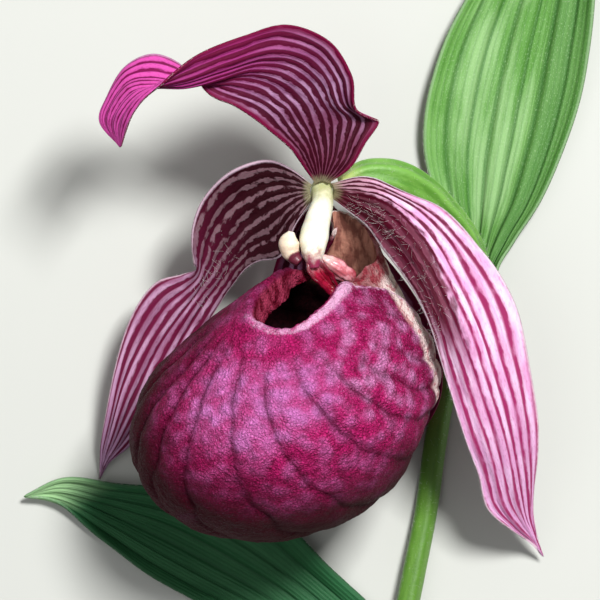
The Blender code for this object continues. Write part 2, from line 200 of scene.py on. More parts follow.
def flesh(weight, tint, depth=0.001):
    # light that sinks into living tissue, depth in metres
    return {"Subsurface Weight": weight, "Subsurface Radius": tint, "Subsurface Scale": depth}


def stripedFinish(name, look):
    # petal tissue: dark veins along it, which break up into mottling towards its base
    finish = Finish(name, {"IOR": 1.25, "Specular IOR Level": 0.3} | flesh(0.04, (1, 0.3, 0.5)), look)
    along, across = finish.alongAcross()
    drift = finish.grain(3.5, 2.5, 2) - 0.5
    wide = finish.grain(11, 6, 2)
    fine = finish.grain(120, 60)
    blotch = finish.grain(*look["blotch"]) - 0.5
    ridge = (across + drift * look["drift"] + blotch * 0.03).wave(look["stripes"])
    # darker towards the base: the veins' mottling, and on the left petal, where it reaches past half its
    # length, also painted shade under the dorsal sepal
    nearBase = (along + (wide - 0.5) * 0.2).smooth(*look["baseReach"])
    above = ridge - look["gap"] + nearBase * look["baseDark"] + (wide - 0.5) * 0.5
    stripe = (above + blotch * (0.9 + nearBase * look["mottle"])).smooth(-0.22, 0.20)
    ground = finish.layers(
        "ground",
        (wide.smooth(0.38, 0.62), "groundPale"),
        (along.smooth(*look["tipReach"]), "groundTip"),
        (above.smooth(-0.6, 0) * look["halo"], "stripePale"),
        (nearBase, "groundBase"),
        (fine.smooth(0.5, 0.7) * 0.3, "stripePale"),
    )
    tone = finish.mix(along.smooth(0.15, 0.6) * look["tipPale"], "stripe", "stripePale")
    colour = finish.mix(stripe * 0.97, ground, tone)
    if "shadedSide" in look:
        # one side of the petal's base is darker, up to a border that slants along it: partly its veins
        # running together, partly painted shadow of the dorsal sepal
        dark = look["shadedSide"]
        shadedHalf = (across - along * dark["slope"] + blotch * 0.3).smooth(*dark["border"])
        shadedHalf = shadedHalf * (along + (wide - 0.5) * 0.15).smooth(*dark["reach"])
        between = (above + blotch * 2.4).smooth(-0.1, -0.6) * 0.55
        shadedTone = finish.mix(between, "stripe", dark["pale"])
        colour = finish.mix(shadedHalf * dark["share"], colour, shadedTone)
    edge = across.fromMargin() + (fine - 0.5) * 0.02
    colour = finish.layers(
        colour,
        (edge.smooth(look["edgeWidth"], 0.004) * look["edgeShare"], "edge"),
        ((along + blotch * 0.05).smooth(0.034, 0) * 0.7, "foot"),
    )
    height = stripe * -0.5 + ridge * 0.6 + fine * 0.4 + blotch
    return finish.wear(colour, 0.45 + fine * 0.2, height, 0.22)


def leafFinish(name, look):
    # leaf tissue: fine parallel veins between the ribs, and paler patches; on the bract, a painted
    # highlight before its fold and painted shade past it
    finish = Finish(name, {"Specular IOR Level": 0.3} | flesh(0.05, (0.4, 1, 0.3)), look)
    along, across = finish.alongAcross()
    bent = across + (finish.grain(3, 2, 2) - 0.5) * 0.03
    veins = bent.wave(look["veins"])
    ribs = bent.wave(look["ribs"]) ** 9
    patches = finish.grain(4, 6)
    dashes = finish.grain(22, 130)
    fine = finish.grain(240, 160)
    fold = look["fold"]
    # pale patches before the fold: partly paler tissue, partly painted highlight
    bloomAndHighlight = patches.smooth(0.36, 0.6) * across.smooth(*look["bloomAndHighlight"])
    bloomAndHighlight = bloomAndHighlight * across.smooth(fold + 0.01, fold - 0.05)
    colour = finish.layers(
        "green",
        (patches.smooth(0.35, 0.65), "greenPale"),
        (bloomAndHighlight * (0.1 + fine * 0.5), "rib"),
        (dashes.smooth(0.48, 0.7) * look["dashes"], "rib"),
        (veins ** 4 * look["veinShare"], "vein"),
        (ribs * look["ribShare"], "vein"),
        # past the fold the blade is darker: painted shade on the half turned from the light
        (across.smooth(fold - 0.005, fold + 0.01) * look["foldShade"], "vein"),
        ((along + (patches - 0.5) * 0.1).smooth(*look["tipReach"]), "tip"),
        (fine.smooth(0.56, 0.66) * look["specks"], "rib"),
        (across.fromMargin().smooth(0.02, 0.004) * 0.4, "rib"),
    )
    height = veins * 0.4 + fine * 0.6 + dashes * 0.3 - ribs * 1.4
    return finish.wear(colour, 0.45 + fine * 0.25, height, 0.16)


def stalkFinish(name, look):
    finish = Finish(name, {"Sheen Weight": 0.15} | flesh(0.1, (0.4, 1, 0.3), 0.0015), look)
    along, around = finish.alongAcross()
    streaks = finish.grain(*look["streaks"])
    fine = finish.noise(finish.place(), 2600)
    colour = finish.layers(
        "green",
        (streaks.smooth(0.35, 0.65) * 0.6, "greenPale"),
        (around.wave(look["ribs"]) ** 3 * 0.5, "greenPale"),
        (along.smooth(*look["endReach"]), "end"),
    )
    return finish.wear(colour, 0.4 + fine * 0.25, streaks * 0.6 + fine, 0.08)


def waxyFinish(name, look):
    # the column's parts: waxy, with one tint at their root and another at their tip
    fixed = {"Coat Weight": look["coat"], "Coat Roughness": 0.2}
    finish = Finish(name, fixed | flesh(0.2, (1, 0.5, 0.3), 0.0012), look)
    along, across = finish.alongAcross()
    cloud = finish.noise(finish.place(), 700)
    fine = finish.noise(finish.place(), 4000, 2)
    patchy = along + (cloud - 0.5) * 0.3
    colour = finish.layers(
        "colour",
        (cloud.smooth(0.4, 0.65), "colourDeep"),
        (patchy.smooth(*look["rootReach"]), "root"),
        (patchy.smooth(*look["tipReach"]), "tip"),
    )
    if "edge" in look:
        colour = finish.mix(across.fromMargin().smooth(0.16, 0.02) * look["edgeShare"], colour, "edge")
    return finish.wear(colour, look["roughness"] + fine * 0.12, cloud + fine * 0.4, 0.10)


def pouchSkinFinish(look):
    finish = Finish("pouchSkin", {"IOR": 1.2, "Specular IOR Level": 0.3} | flesh(0.02, (1, 0.3, 0.5)), look)
    place = finish.place()
    x, y, z = finish.parts(place)
    broad = finish.noise(place, 120, 2) - 0.5
    warp = finish.noise(place, 260, 2) * 0.0016
    bent = finish.join(x + warp, y + warp, z)
    cell = finish.cells(bent, 400)
    shake = finish.noise(place, 1500, 2) * 0.0007
    bead = finish.cells(finish.join(x + shake, y + shake, z + shake), 1750, "DISTANCE_TO_EDGE")
    fine = finish.noise(place, 2600, 4, 0.7)
    crinkle = finish.noise(bent, 800)
    # partly the pouch's own tones, partly painted light and shade: the middle, facing the light, is lilac
    # pink with a painted highlight, and the sides turned from it are burgundy painted shade; the right
    # shoulder is netted with white
    litSide = (finish.painted("litSide") + broad * 0.5).smooth(0.15, 0.95)
    sunny = (finish.painted("lilac") + broad * 0.9).smooth(0.05, 0.9)
    at, size = look["whitePatch"]
    oval = ((x - at[0]) / size[0]) ** 2 + ((y - at[1]) / size[1]) ** 2
    shoulder = (oval + broad * 1.2).smooth(1.4, 0.2)
    blobs = cell.smooth(0.62, 0.12)
    grainy = 1 - sunny * 0.45
    colour = finish.layers(
        "burgundy",
        (litSide, "magenta"),
        (litSide * blobs * 0.5, "lilac"),
        (sunny * (0.3 + blobs * 0.65), "lilac"),
        (shoulder * cell.smooth(0.56, 0.10) * 0.7, "white"),
        (bead.smooth(0.16, 0.02) * grainy * 0.4, "vein"),
        (fine.smooth(0.50, 0.66) * grainy * 0.55, "vein"),
        (crinkle.smooth(0.52, 0.64) * grainy * 0.5, "vein"),
        (crinkle.line(0.026) * grainy * 0.55, "vein"),
        (fine.smooth(0.44, 0.30) * (sunny * 0.5 + shoulder * 0.3 + 0.06), "lilacPale"),
        (finish.painted("furrow") * (0.45 + fine * 0.5), "furrow"),
    )
    # the flap rolled in at the mouth, the claw's cream side and the pale rim
    streak = finish.noise(finish.join(x * 1100, y * 560, z * 560), 1, 4)
    flap = finish.mix(streak.smooth(0.38, 0.62), "flap", "flapPale")
    cream = finish.layers(
        "cream",
        (streak.smooth(0.50, 0.60) * 0.75, "creamStreak"),
        ((finish.painted("blush") + (streak - 0.5) * 0.9).smooth(-0.1, 1.3), "blush"),
    )
    rim = finish.painted("rim") + (fine - 0.5) + (crinkle - 0.5)
    colour = finish.layers(
        colour,
        (finish.painted("flap"), flap),
        ((finish.painted("cream") + (streak - 0.5) * 0.6).smooth(0.3, 0.7), cream),
        (rim.smooth(0.3, 1) * 0.9, "rim"),
    )
    height = fine * 0.9 - crinkle * 1.5 + bead.smooth(0, 0.3) * 0.4 + blobs * 0.6
    return finish.wear(colour, 0.50 + fine * 0.2, height, 0.60)


def pouchInsideFinish(look):
    finish = Finish("pouchInside", {"Specular IOR Level": 0.2} | flesh(0.05, (1, 0.3, 0.3)), look)
    place = finish.place()
    x, y, z = finish.parts(place)
    fine = finish.noise(place, 1500)
    streak = finish.noise(finish.join(x * 900, y * 260, z * 350), 1)
    wall = finish.mix(streak.smooth(0.42, 0.60), "flap", "flapPale")
    claw = finish.mix(streak.smooth(0.42, 0.62) * 0.7, "claw", "clawDark")
    # the hollow is painted near black, painted shade deep in the pouch; the red left wall and the claw's
    # tan wall near the mouth lie over it
    colour = finish.layers(
        "hollowShade",
        (fine.smooth(0.35, 0.65), "hollowShadePale"),
        (finish.painted("wall"), wall),
        (finish.painted("claw") * (0.7 + fine * 0.5), claw),
        (finish.painted("rim").smooth(0.6, 1) * 0.7, "rim"),
    )
    return finish.wear(colour, 0.5 + fine * 0.2, fine + streak, 0.15)


# Building and placing
def claim(piece, slot, *nodes):
    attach(piece, "root")
    if nodes:
        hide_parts(*nodes)
    return piece


def toObject(bm, name, materials):
    mesh = bpy.data.meshes.new(name)
    bm.to_mesh(mesh)
    bm.free()
    mesh.shade_smooth()
    for material in materials:
        mesh.materials.append(material)
    made = bpy.data.objects.new(name, mesh)
    scene.collection.objects.link(made)
    return made


def unwrap(bm, alongAcross):
    uvs = bm.loops.layers.uv.new("alongAcross")
    for face in bm.faces:
        for loop in face.loops:
            loop[uvs].uv = alongAcross(loop.vert.co)


def makeWall(piece, thickness, offset):
    wall = piece.modifiers.new("wall", "SOLIDIFY")
    wall.thickness = thickness * mm
    wall.offset = offset
    wall.material_offset = 1
    wall.use_quality_normals = True


footCentre, footRadius, footGap = Vector((0, -0.8, 22.5)), 2.1, 0.2


def onFoot(azimuth, polar):
    a, p = radians(azimuth), radians(polar)
    away = Vector((sin(p) * cos(a), sin(p) * sin(a), cos(p)))
    return footCentre + away * (footRadius + footGap)


def footStation(azimuth, halfSpread, polar):
    return tuple(onFoot(azimuth + turn, polar) for turn in (halfSpread, 0, -halfSpread))


# what all blades share: how far their relief fades in at the ends, how uneven they are, and where they lie
tissue = {"fade": 0.15, "shift": 0.27, "uneven": 0.25, "lumpsAlong": 9, "lumpsAcross": 2.2, "clear": 0.05}


class Blade:
    # a sepal, petal or leaf through stations of (left margin, middle, right margin)
    def __init__(self, shape):
        self.shape = shape
        self.lefts, self.middles, self.rights = (
            [Vector(station[side]) for station in shape["stations"]] for side in range(3)
        )

    def bare(self, share, v):
        left = alongPoints(self.lefts, share)
        middle = alongPoints(self.middles, share)
        right = alongPoints(self.rights, share)
        return middle + (right - left) * (v / 2) + ((left + right) / 2 - middle) * (v * v)

    def point(self, share, v):
        # the surface with its ribs and its waved margins, and its normal
        shape, step = self.shape, 0.01
        here = self.bare(share, v)
        down = self.bare(min(1, share + step), v) - self.bare(max(0, share - step), v)
        over = self.bare(share, v + step) - self.bare(share, v - step)
        normal = over.cross(down).normalized()
        fade = ramp(0, tissue["fade"], share) * ramp(1, 1 - tissue["fade"], share)
        rise = shape["ribHeight"] * cos(shape["ribs"] * pi * v)
        rise += shape["veinHeight"] * cos(shape["veins"] * pi * (v + 1))
        shift = tissue["shift"] if v > 0 else -tissue["shift"]
        beat = sin((share * shape["waves"] + shift) * tau)
        rise += shape["waveHeight"] * beat * abs(v) ** 3
        spot = Vector((share * tissue["lumpsAlong"], v * tissue["lumpsAcross"], shape["seed"]))
        rise += tissue["uneven"] * noise(spot)
        here += normal * (rise * fade)
        here.z = max(here.z, shape["thickness"] / 2 + tissue["clear"])
        return here, normal


def makeBlade(name, slot, blade, materials):
    shape = blade.shape
    along, across = shape["along"], shape["across"]
    bm = bmesh.new()
    bmesh.ops.create_grid(bm, x_segments=across, y_segments=along, size=1)
    unwrap(bm, lambda co: ((co.y + 1) / 2, (co.x + 1) / 2))
    for vert in bm.verts:
        v, share = vert.co.x, (vert.co.y + 1) / 2
        vert.co = toMetres(blade.point(share, v)[0])
    tipRow = [vert for vert in bm.verts if vert.index >= along * (across + 1)]
    bmesh.ops.pointmerge(bm, verts=tipRow, merge_co=toMetres(blade.middles[-1]))
    bm.normal_update()
    bm.faces.ensure_lookup_table()
    firstRows = bm.faces[: across * 10]
    if sum(face.normal.z for face in firstRows) < 0:
        bmesh.ops.reverse_faces(bm, faces=bm.faces)
    piece = toObject(bm, name + "_fine", materials)
    makeWall(piece, shape["thickness"], 0)
    return claim(piece, slot, name)


class Rod:
    # a round stalk along a path, whose radius follows radii from end to end
    def __init__(self, shape):
        self.shape = shape
        self.path = [Vector(point) for point in shape["path"]]

    def point(self, share, angle):
        shape, step = self.shape, 0.01
        centre = alongPoints(self.path, share)
        ahead = alongPoints(self.path, min(1, share + step))
        ahead = (ahead - alongPoints(self.path, max(0, share - step))).normalized()
        side = ahead.cross(Vector((0, 0, 1))).normalized()
        up = side.cross(ahead)
        radius = alongPoints(shape["radii"], share)
        swell = shape["ribHeight"] * cos(shape["ribs"] * angle)
        swell += shape["lumps"] * noise(Vector((share * 12, cos(angle) * 1.2, sin(angle) * 1.2)))
        ends = ramp(0, shape["fade"], share) * ramp(1, 1 - shape["fade"], share)
        out = side * cos(angle) + up * sin(angle)
        here = centre + out * (radius + swell * ends)
        here.z = max(here.z, 0)
        return here, out.normalized()


def makeRod(name, slot, rod, materials):
    shape = rod.shape
    bm = bmesh.new()
    bmesh.ops.create_cone(bm, cap_ends=True, segments=shape["sides"], radius1=1, radius2=1, depth=1)
    upright = [edge for edge in bm.edges if abs(edge.verts[0].co.z - edge.verts[1].co.z) > 0.5]
    bmesh.ops.subdivide_edges(bm, edges=upright, cuts=shape["rings"] - 1, use_grid_fill=True)
    unwrap(bm, lambda co: (co.z + 0.5, atan2(co.y, co.x) / tau + 0.5))
    for vert in bm.verts:
        share, angle = vert.co.z + 0.5, atan2(vert.co.y, vert.co.x)
        vert.co = toMetres(rod.point(share, angle)[0])
    bm.normal_update()
    bmesh.ops.recalc_face_normals(bm, faces=bm.faces)
    return claim(toObject(bm, name + "_fine", materials), slot, name)


def plantHairs(name, slot, roots, look, material):
    # tapered hairs, each with its root sunk in the skin; small batches build faster
    whole, batchSize, rootDepth, tipShare = bmesh.new(), 60, 0.15, 0.2
    roots = [root for root in roots if root[0].z + root[1].z > 1]  # none reach into the table
    for first in range(0, len(roots), batchSize):
        bm = bmesh.new()
        for point, way in roots[first : first + batchSize]:
            length = draws.uniform(*look["length"])
            lean = Vector([draws.uniform(-1, 1) for _ in range(3)])
            way = (way + lean * look["lean"]).normalized()
            turn = way.to_track_quat("Z", "Y").to_matrix().to_4x4()
            spot = Matrix.Translation(toMetres(point + way * (length / 2 - rootDepth)))
            radius = look["radius"] * mm
            bmesh.ops.create_cone(bm, cap_ends=True, segments=3, radius1=radius, radius2=radius * tipShare,
                                  depth=length * mm, matrix=spot @ turn)
        batch = bpy.data.meshes.new("batch")
        bm.to_mesh(batch)
        bm.free()
        whole.from_mesh(batch)
        bpy.data.meshes.remove(batch)
    return claim(toObject(whole, name, [material]), slot)


def rodRoots(rod, count, shares):
    spots = [(draws.uniform(*shares), draws.uniform(-pi, pi)) for _ in range(count)]
    return [rod.point(share, angle) for share, angle in spots]


def bladeRoots(blade, count, shares, acrosses):
    roots = []
    for _ in range(count):
        point, normal = blade.point(draws.uniform(*shares), draws.uniform(*acrosses))
        way = normal if normal.z > 0 else -normal
        roots.append((point + way * (blade.shape["thickness"] / 2), way))
    return roots


def marginRoots(blade, count, shares):
    roots = []
    for _ in range(count):
        share, side = draws.uniform(*shares), draws.choice((-1, 1))
        point = blade.point(share, side)[0]
        roots.append((point, (point - blade.point(share, side * 0.9)[0]).normalized()))
    return roots


# Stem and ovary
stalkLooks = {
    "stem": {"green": rgb(74, 120, 26), "greenPale": rgb(92, 138, 40), "end": rgb(150, 172, 96),
             "endReach": (0.012, 0), "streaks": (26, 14), "ribs": 5},
    "ovary": {"green": rgb(74, 130, 26), "greenPale": rgb(120, 172, 72), "end": rgb(176, 190, 110),
              "endReach": (0.86, 1), "streaks": (7, 12), "ribs": 6},
}
rodForm = {"fade": 0.06}  # how near their ends the ribs and lumps fade
stemShape = dict(rodForm, radii=[2.1, 2.1, 2.05, 2.05, 2, 2, 1.95, 1.9, 1.9, 1.9], sides=40, rings=160,
                 ribs=5, ribHeight=0.07, lumps=0.05, path=[
    (11.5, -98, 3.6), (12.4, -88, 3.6), (14, -78, 3.5), (16.2, -67, 2.7),
    (18.4, -56, 1.8), (20, -44, 1.8), (22, -33, 2), (24.4, -22.4, 3.2),
    (26.5, -15.6, 4.5), (27.1, -13.2, 5.3),
])
ovaryShape = dict(rodForm, radii=[1.9, 1.9, 2.1, 2.5, 2.8, 2.9, 2.6, 1.8], sides=60, rings=90, ribs=6,
                  ribHeight=0.2, lumps=0.1, path=[
    (27, -12.4, 5.9), (26.7, -11.2, 6.5), (25.2, -8.4, 8.6), (22, -4.8, 11.4),
    (17.6, -0.8, 15), (12.8, 1.6, 18), (7.8, 2, 19.8), (3.4, 0.3, 20.8),
])
stem, ovary = Rod(stemShape), Rod(ovaryShape)
for name, rod in (("stem", stem), ("ovary", ovary)):
    makeRod(name, "stalk", rod, [stalkFinish(name + "Green", stalkLooks[name])])
print("stalks made")

# Bract and leaf
leafLooks = {
    "bract": {"green": rgb(84, 138, 54), "greenPale": rgb(114, 164, 84), "vein": rgb(46, 98, 34),
              "rib": rgb(164, 194, 148), "tip": rgb(74, 120, 52), "tipReach": (0.9, 1),
              "veins": 24, "ribs": 7, "ribShare": 0.7, "veinShare": 0.3, "dashes": 0.15,
              "bloomAndHighlight": (0.02, 0.3), "fold": 0.68, "foldShade": 0.5, "specks": 0.4},
    "leaf": {"green": rgb(26, 86, 46), "greenPale": rgb(40, 102, 60), "vein": rgb(18, 66, 34),
             "rib": rgb(52, 104, 64), "tip": rgb(150, 190, 136), "tipReach": (0.78, 0.92),
             "veins": 30, "ribs": 7, "ribShare": 0.5, "veinShare": 0.3, "dashes": 0.12,
             "bloomAndHighlight": (0, 0.2), "fold": 2, "foldShade": 0, "specks": 0.15},
}
leafForm = {"along": 130, "thickness": 0.5, "ribs": 4, "ribHeight": 0.3, "waves": 3, "waveHeight": 0.3}
bractShape = dict(leafForm, across=96, veins=8, veinHeight=0.1, seed=1, stations=[
    ((22.8, -15.2, 5.4), (26.8, -16.4, 0.8), (30, -16.8, 5.4)),
    ((23.4, -11.6, 4.4), (28, -12, 0.6), (31.6, -12.6, 4.2)),
    ((22.4, -6.4, 2.4), (28.8, -7.4, 0.5), (34.2, -8.6, 3.2)),
    ((19.6, 0, 2.6), (29.8, -1.4, 0.4), (38.8, -2, 3.2)),
    ((17.8, 8, 3.6), (31.2, 7.4, 0.4), (42.8, 7.4, 3.4)),
    ((18.4, 16.5, 4), (33, 17, 0.4), (45.6, 17, 4)),
    ((21.3, 25.5, 4), (35.2, 27, 0.6), (47.4, 27, 4.8)),
    ((26, 34.5, 4.2), (38, 37, 1.4), (48.4, 37.5, 5.6)),
    ((32, 44, 5), (41.2, 47, 3), (48.8, 48, 6.4)),
    ((38.8, 54, 6.4), (44.4, 57, 5), (48.4, 58, 7.2)),
    [(47, 67, 8)] * 3,
])
leafShape = dict(leafForm, across=84, ribs=3, ribHeight=0.25, veins=7, veinHeight=0.06, waves=4,
                 waveHeight=0.25, seed=2, stations=[
    ((16.4, -93, 4.4), (11.9, -93.6, 0.4), (7.2, -93.4, 4.4)),
    ((17.4, -87, 3.4), (11.6, -87, 0.4), (6.4, -88, 4)),
    ((15.4, -79.6, 0.6), (6.5, -81.6, 0.4), (2.4, -85.2, 2.6)),
    ((8.2, -72.4, 1.2), (-1.6, -75.8, 0.4), (-5, -81.6, 1.6)),
    ((1.2, -66, 3.2), (-9.8, -69.8, 0.4), (-13.4, -77, 1.4)),
    ((-6, -58.6, 4.8), (-18, -65, 0.4), (-22.4, -72, 1.4)),
    ((-15.4, -54.2, 5), (-26.4, -60.6, 0.4), (-31, -67.4, 1.4)),
    ((-25.4, -52.2, 4.6), (-34, -57.4, 0.5), (-38.6, -61.4, 1.8)),
    ((-35.6, -51.4, 4), (-40.8, -55, 1), (-44.2, -56.6, 2.2)),
    ((-45, -50.6, 3), (-46.6, -53.4, 1.6), (-48.4, -54.4, 2.4)),
    [(-52.2, -53.8, 2.4)] * 3,
])
bract, leaf = Blade(bractShape), Blade(leafShape)
for name, blade in (("bract", bract), ("leaf", leaf)):
    makeBlade(name, name, blade, [leafFinish(name + "Green", leafLooks[name])] * 2)
print("leaves made")

# Sepals
sepalInside = {
    "stripes": 12, "drift": 0.14, "gap": 0.46, "baseReach": (0.36, 0.06), "baseDark": 0.10,
    "blotch": (36, 18), "mottle": 1, "tipPale": 0.5, "halo": 0.3, "tipReach": (0.34, 0.58),
    "ground": rgb(124, 84, 116), "groundPale": rgb(168, 130, 164), "groundBase": rgb(104, 50, 72),
    "groundTip": rgb(142, 44, 108), "stripe": rgb(50, 0, 16), "stripePale": rgb(104, 6, 54),
    "foot": rgb(160, 158, 120),
    "edge": rgb(108, 8, 52), "edgeWidth": 0.09, "edgeShare": 0.85,
}
# the outer face is brighter magenta than the inner: partly its own colour, partly painted light, the outer
# face lit and the hood's inner face in painted shade
sepalOutside = dict(
    sepalInside, gap=0.66, ground=rgb(176, 40, 124), groundPale=rgb(214, 92, 170),
    groundTip=rgb(198, 74, 156), stripe=rgb(100, 4, 52), stripePale=rgb(116, 10, 74),
    edge=rgb(226, 170, 214), edgeWidth=0.03, edgeShare=0.5,
)
petalForm = {"along": 150, "thickness": 0.4, "ribs": 4, "ribHeight": 0.14, "veins": 12,
             "veinHeight": 0.07, "waves": 5, "waveHeight": 0.3}
dorsalShape = dict(petalForm, across=96, ribHeight=0.16, veinHeight=0.06, waves=4, seed=3, stations=[
    footStation(90, 40, 45),
    ((-3.4, 3.6, 27.4), (0.5, 4.2, 25.4), (4.9, 3.2, 26.2)),
    ((-5.6, 6.2, 30.5), (0.4, 7.8, 26.2), (7.4, 7.4, 26.4)),
    ((-8.4, 8.8, 33), (-0.4, 11.2, 27.6), (9.7, 11.2, 26)),
    ((-11.2, 11, 35), (-1.8, 14, 29.2), (5.9, 13.4, 29.5)),
    ((-14.6, 12.9, 37), (-4.2, 16.8, 31.2), (5, 18.6, 31.5)),
    ((-17.6, 14.2, 38), (-7.6, 18.8, 33.6), (1.2, 24.4, 33)),
    ((-19.6, 15.8, 38), (-12, 19.2, 36.6), (-6, 27, 35.5)),
    ((-21.6, 18.2, 37), (-17.6, 17.6, 40), (-13.2, 24.9, 39.5)),
    ((-24.2, 20.9, 36.6), (-23.2, 16.3, 42), (-20, 21.9, 43.6)),
    ((-28.6, 21.9, 37), (-28, 16.2, 42.6), (-25.2, 18.4, 45.6)),
    ((-33.2, 19.6, 37.4), (-31.6, 15.6, 42), (-29, 15, 45.4)),
    ((-36.4, 15, 37.6), (-34.2, 12.8, 40.8), (-31.4, 11.8, 43.8)),
    ((-37.4, 10.6, 38), (-35.2, 9.8, 39.8), (-32.8, 9, 42)),
    ((-33.9, 6.4, 40), (-33.8, 6.2, 40), (-33.7, 6.2, 40)),
])
synsepalShape = dict(petalForm, along=90, across=72, ribs=3, veinHeight=0.05, waves=3, waveHeight=0.25,
                     seed=4, stations=[
    footStation(270, -34, 125),
    ((-4.6, -6.6, 16.6), (0.6, -7.4, 15.4), (5.6, -6.8, 16)),
    ((-8, -13, 9), (2, -13.4, 8.6), (12, -13, 10.8)),
    ((-9.6, -21, 3.6), (3.8, -21, 3.6), (17.4, -21, 8.6)),
    ((-9.4, -29, 1.6), (5.4, -29, 1.4), (20.9, -29.5, 9)),
    ((-7.4, -37, 1.2), (6.4, -37, 0.8), (20.4, -37, 8.6)),
    ((-3.4, -44, 1), (7.2, -44, 0.6), (16.6, -43.5, 6.4)),
    ((2.2, -49.4, 1), (8, -49.4, 0.8), (12.8, -48.8, 3.2)),
    ((8.4, -53, 1.6), (8.5, -53, 1.6), (8.6, -53, 1.6)),
])
dorsal, synsepal = Blade(dorsalShape), Blade(synsepalShape)
sepalFaces = [stripedFinish("sepalInside", sepalInside), stripedFinish("sepalOutside", sepalOutside)]
makeBlade("dorsal_sepal", "sepal", dorsal, sepalFaces)
makeBlade("synsepal", "sepal", synsepal, sepalFaces)
print("sepals made")

# Petals
# the left petal is darker than the right, its darker base reaching past half its length: partly its own
# veins and mottling, partly painted shade under the dorsal sepal
petalLeftLook = {
    "stripes": 8, "drift": 0.14, "gap": 0.50, "baseReach": (0.60, 0.30), "baseDark": 0.26,
    "blotch": (40, 15), "mottle": 1.7, "tipPale": 0.75, "halo": 0.4, "tipReach": (0.7, 0.95),
    "ground": rgb(154, 104, 136), "groundPale": rgb(194, 152, 184), "groundBase": rgb(116, 88, 96),
    "groundTip": rgb(184, 142, 178), "stripe": rgb(38, 0, 8), "stripePale": rgb(112, 18, 60),
    "foot": rgb(160, 158, 120),
    "edge": rgb(226, 196, 214), "edgeWidth": 0.025, "edgeShare": 0.6,
}
petalRightLook = dict(
    petalLeftLook, gap=0.80, baseReach=(0.24, 0.02), baseDark=0.24, mottle=1, blotch=(34, 16),
    tipPale=1, halo=0.45, tipReach=(0.55, 0.95), edge=rgb(252, 236, 248),
    ground=rgb(220, 158, 202), groundPale=rgb(242, 204, 236), groundBase=rgb(190, 144, 160),
    groundTip=rgb(226, 164, 212), stripe=rgb(66, 0, 22), stripePale=rgb(154, 34, 92),
    # the darker side: partly veins running together, partly painted shadow of the dorsal sepal
    shadedSide={"border": (0.30, 0.44), "slope": 0.42, "share": 0.97, "reach": (0.62, 0.40),
              "pale": rgb(122, 58, 76)},
)
petalBackLook = dict(
    petalLeftLook, gap=0.66, ground=rgb(168, 76, 130), groundPale=rgb(200, 132, 176), stripe=rgb(84, 4, 36),
)
petalLeftShape = dict(petalForm, across=80, veins=8, seed=5, stations=[
    footStation(184, -38, 62),
    ((-5.4, 3, 25), (-5.4, -1.8, 22.8), (-4.4, -6.4, 23)),
    ((-10, 4.2, 25), (-9.2, -3.6, 20.5), (-7, -11.8, 20.5)),
    ((-15.4, 2.7, 24.5), (-12.8, -5.8, 18.2), (-10.8, -12.6, 17.5)),
    ((-19.6, -1.6, 23), (-15.6, -8.6, 16.6), (-13, -13.9, 14.8)),
    ((-21.9, -6.6, 21.5), (-17.8, -11.6, 15.4), (-15, -16.2, 12.5)),
    ((-22.3, -10.4, 19.5), (-19.2, -14.4, 14.4), (-16.9, -18.8, 10.6)),
    ((-21.5, -13.8, 16.5), (-20.9, -17.2, 13.2), (-18.8, -21.8, 9)),
    ((-24, -14.9, 13.6), (-23.2, -20.2, 11.6), (-21, -25.4, 7.8)),
    ((-28.8, -16.5, 13), (-26.2, -24.2, 10), (-23.6, -30, 6.8)),
    ((-32.8, -22.3, 12), (-29.6, -29.8, 8.4), (-26.6, -35.8, 5.8)),
    ((-36, -31.5, 9.6), (-33.2, -36.8, 6.6), (-30, -41.2, 4.8)),
    ((-38.1, -42, 6), (-36, -43.6, 4.4), (-33.6, -45, 3.4)),
    ((-38.8, -47.8, 2.4), (-38, -47.8, 2), (-37.1, -47.6, 1.8)),
    ((-38.9, -50.8, 0.4), (-39, -50.8, 0.4), (-39, -50.8, 0.4)),
])
petalRightShape = dict(petalForm, across=84, veins=9, waveHeight=0.2, seed=6, stations=[
    footStation(4, 38, 62),
    ((6.6, 1.5, 26.4), (6.4, -1.6, 27.6), (5, -4.6, 26.6)),
    ((11.2, 0.1, 27), (10.2, -2.8, 31), (8.4, -7.4, 29.6)),
    ((15.6, -1.7, 27.4), (13.8, -5.4, 33.4), (11, -11.2, 32)),
    ((20.2, -4.3, 27.4), (17.2, -9.2, 34.8), (13.8, -15.2, 34)),
    ((25.1, -8.7, 27), (20.2, -14, 35.6), (16.4, -19.2, 35)),
    ((29.3, -13.7, 26), (23, -19.8, 35.2), (18.4, -23.8, 35.4)),
    ((32.9, -21.2, 24.6), (25.6, -26.4, 33.4), (20, -29.4, 34.6)),
    ((35.3, -30.2, 22.2), (28.1, -33.6, 29.8), (22.1, -36.2, 31.4)),
    ((36.8, -38.6, 18.8), (30.5, -41, 24.8), (24.4, -43.3, 26.6)),
    ((37, -46, 14.6), (32.3, -47.9, 19), (26.8, -49.4, 21)),
    ((36.8, -52, 10.8), (33.8, -53.8, 13.6), (28.4, -55.1, 15.8)),
    ((36.8, -57.2, 7.4), (35.4, -58.2, 8.8), (32.8, -59.2, 10.2)),
    ((37.8, -61.4, 4.2), (37.4, -61.6, 4.4), (36.8, -62, 4.8)),
    ((38.9, -64.3, 2), (38.9, -64.4, 2), (38.9, -64.4, 2)),
])
petalLeft, petalRight = Blade(petalLeftShape), Blade(petalRightShape)
petalOutside = stripedFinish("petalOutside", petalBackLook)
leftInside = stripedFinish("petalLeftInside", petalLeftLook)
rightInside = stripedFinish("petalRightInside", petalRightLook)
makeBlade("petal_left", "petal", petalLeft, [leftInside, petalOutside])
makeBlade("petal_right", "petal", petalRight, [rightInside, petalOutside])
print("petals made")

